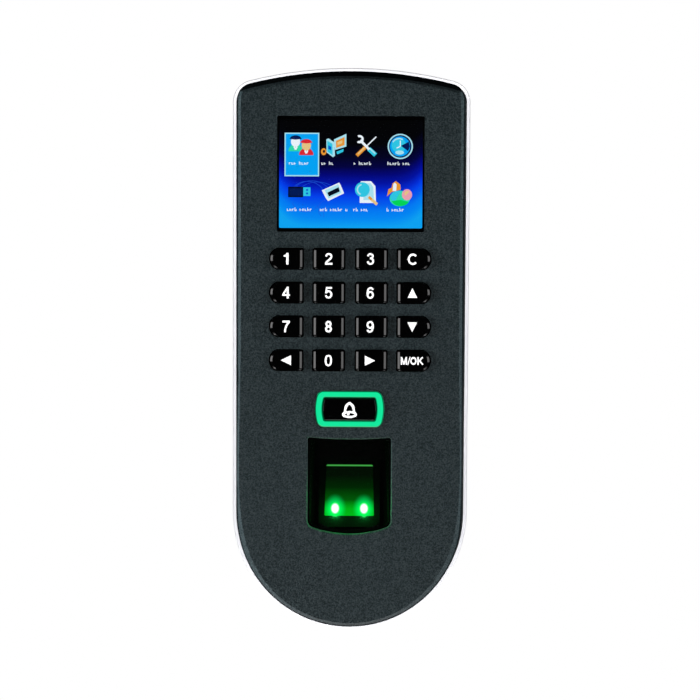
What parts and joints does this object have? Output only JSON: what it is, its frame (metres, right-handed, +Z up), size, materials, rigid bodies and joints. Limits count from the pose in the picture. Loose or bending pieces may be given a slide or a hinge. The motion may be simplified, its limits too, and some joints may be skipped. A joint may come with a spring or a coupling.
{
  "type": "fingerprint scanner terminal",
  "caption": "wall-mounted fingerprint access terminal with a colour display, a sprung number keypad, a lit doorbell button and a tilted optical finger sensor",
  "frame": {"origin": "centre of the wall plate's four screw holes, on the wall plane", "axes": "+X to the right of a person facing the terminal, +Y into the wall, +Z up; the terminal stands out towards -Y"},
  "size_m": [0.0828, 0.043, 0.1959],
  "materials": {
    "shell_black": "fine pebble texture",
    "trim_silver": "bright satin silver",
    "plate_steel": "zinc plated sheet",
    "lens_clear": "clear, hard-coated",
    "foam_black": "closed-cell foam and tape",
    "lcd_screen": "lit colour display",
    "backlight_steel": "folded steel and white plastic",
    "flex_amber": "polyimide flex",
    "circuit_board": "green solder mask",
    "chip_black": "moulded black plastic",
    "cell_steel": "nickel plated",
    "silicone_grey": "silicone rubber",
    "key_gloss": "piano black",
    "ring_glow": "lit light guide",
    "led_lens": "clear lamp lens",
    "guide_gloss": "black gloss",
    "sensor_glass": "polished, lit green from below",
    "coil_copper": "enamelled copper wire",
    "socket_white": "nylon",
    "pin_brass": "gold flash",
    "relay_blue": "sealed relay case",
    "plunger_white": "acetal",
    "ribbon_grey": "flat ribbon cable",
    "screw_steel": "zinc plated"
  },
  "bodies": {
    "root": {"front_cover": "shell_black", "rear_housing": "shell_black", "trim_frame": "trim_silver", "wall_plate": "plate_steel", "display_lens": "lens_clear", "lens_tape": "foam_black", "lcd_gasket": "foam_black", "lcd_glass": "lcd_screen", "lcd_backlight": "backlight_steel", "lcd_flex": "flex_amber", "main_board": "circuit_board", "power_board": "circuit_board", "sensor_board": "circuit_board", "main_board_chips": "chip_black", "power_board_chips": "chip_black", "cell_holder": "chip_black", "clock_cell": "cell_steel", "key_domes": "cell_steel", "keypad_mat": "silicone_grey", "ring_light_guide": "ring_glow", "ring_leds": "led_lens", "finger_guide": "guide_gloss", "sensor_prism": "sensor_glass", "sensor_housing": "chip_black", "sensor_lens": "chip_black", "sensor_leds": "led_lens", "card_coil": "coil_copper", "terminal_sockets": "socket_white", "terminal_pins": "pin_brass", "lock_relay": "relay_blue", "usb_socket": "cell_steel", "usb_tongue": "chip_black", "speaker": "chip_black", "tamper_switch": "chip_black", "reset_switch": "chip_black", "sensor_ribbon": "ribbon_grey", "board_ribbon": "ribbon_grey", "shell_screws": "screw_steel", "small_screws": "screw_steel", "lock_screw": "screw_steel"},
    "key_1_body": {"key_1": "key_gloss"},
    "key_2_body": {"key_2": "key_gloss"},
    "key_3_body": {"key_3": "key_gloss"},
    "key_clear_body": {"key_clear": "key_gloss"},
    "key_4_body": {"key_4": "key_gloss"},
    "key_5_body": {"key_5": "key_gloss"},
    "key_6_body": {"key_6": "key_gloss"},
    "key_up_body": {"key_up": "key_gloss"},
    "key_7_body": {"key_7": "key_gloss"},
    "key_8_body": {"key_8": "key_gloss"},
    "key_9_body": {"key_9": "key_gloss"},
    "key_down_body": {"key_down": "key_gloss"},
    "key_left_body": {"key_left": "key_gloss"},
    "key_0_body": {"key_0": "key_gloss"},
    "key_right_body": {"key_right": "key_gloss"},
    "key_ok_body": {"key_ok": "key_gloss"},
    "doorbell_button_body": {"doorbell_button": "key_gloss"},
    "tamper_plunger_body": {"tamper_plunger": "plunger_white"},
    "reset_button_body": {"reset_button": "plunger_white"}
  },
  "joints": [
    {"name": "key_1_press", "type": "slide", "parent": "root", "child": "key_1_body", "axis": [0, 1, 0], "range_m": [0, 0.0008], "stiffness_N_per_m": 1200, "springref_m": -0.0003},
    {"name": "key_2_press", "type": "slide", "parent": "root", "child": "key_2_body", "axis": [0, 1, 0], "range_m": [0, 0.0008], "stiffness_N_per_m": 1200, "springref_m": -0.0003},
    {"name": "key_3_press", "type": "slide", "parent": "root", "child": "key_3_body", "axis": [0, 1, 0], "range_m": [0, 0.0008], "stiffness_N_per_m": 1200, "springref_m": -0.0003},
    {"name": "key_clear_press", "type": "slide", "parent": "root", "child": "key_clear_body", "axis": [0, 1, 0], "range_m": [0, 0.0008], "stiffness_N_per_m": 1200, "springref_m": -0.0003},
    {"name": "key_4_press", "type": "slide", "parent": "root", "child": "key_4_body", "axis": [0, 1, 0], "range_m": [0, 0.0008], "stiffness_N_per_m": 1200, "springref_m": -0.0003},
    {"name": "key_5_press", "type": "slide", "parent": "root", "child": "key_5_body", "axis": [0, 1, 0], "range_m": [0, 0.0008], "stiffness_N_per_m": 1200, "springref_m": -0.0003},
    {"name": "key_6_press", "type": "slide", "parent": "root", "child": "key_6_body", "axis": [0, 1, 0], "range_m": [0, 0.0008], "stiffness_N_per_m": 1200, "springref_m": -0.0003},
    {"name": "key_up_press", "type": "slide", "parent": "root", "child": "key_up_body", "axis": [0, 1, 0], "range_m": [0, 0.0008], "stiffness_N_per_m": 1200, "springref_m": -0.0003},
    {"name": "key_7_press", "type": "slide", "parent": "root", "child": "key_7_body", "axis": [0, 1, 0], "range_m": [0, 0.0008], "stiffness_N_per_m": 1200, "springref_m": -0.0003},
    {"name": "key_8_press", "type": "slide", "parent": "root", "child": "key_8_body", "axis": [0, 1, 0], "range_m": [0, 0.0008], "stiffness_N_per_m": 1200, "springref_m": -0.0003},
    {"name": "key_9_press", "type": "slide", "parent": "root", "child": "key_9_body", "axis": [0, 1, 0], "range_m": [0, 0.0008], "stiffness_N_per_m": 1200, "springref_m": -0.0003},
    {"name": "key_down_press", "type": "slide", "parent": "root", "child": "key_down_body", "axis": [0, 1, 0], "range_m": [0, 0.0008], "stiffness_N_per_m": 1200, "springref_m": -0.0003},
    {"name": "key_left_press", "type": "slide", "parent": "root", "child": "key_left_body", "axis": [0, 1, 0], "range_m": [0, 0.0008], "stiffness_N_per_m": 1200, "springref_m": -0.0003},
    {"name": "key_0_press", "type": "slide", "parent": "root", "child": "key_0_body", "axis": [0, 1, 0], "range_m": [0, 0.0008], "stiffness_N_per_m": 1200, "springref_m": -0.0003},
    {"name": "key_right_press", "type": "slide", "parent": "root", "child": "key_right_body", "axis": [0, 1, 0], "range_m": [0, 0.0008], "stiffness_N_per_m": 1200, "springref_m": -0.0003},
    {"name": "key_ok_press", "type": "slide", "parent": "root", "child": "key_ok_body", "axis": [0, 1, 0], "range_m": [0, 0.0008], "stiffness_N_per_m": 1200, "springref_m": -0.0003},
    {"name": "doorbell_button_press", "type": "slide", "parent": "root", "child": "doorbell_button_body", "axis": [0, 1, 0], "range_m": [0, 0.0008], "stiffness_N_per_m": 1200, "springref_m": -0.0003},
    {"name": "tamper_plunger_press", "type": "slide", "parent": "root", "child": "tamper_plunger_body", "axis": [0, -1, 0], "range_m": [0, 0.0006], "stiffness_N_per_m": 900, "springref_m": -0.0004},
    {"name": "reset_button_press", "type": "slide", "parent": "root", "child": "reset_button_body", "axis": [0, -1, 0], "range_m": [0, 0.0004], "stiffness_N_per_m": 2500, "springref_m": -0.0002}
  ]
}
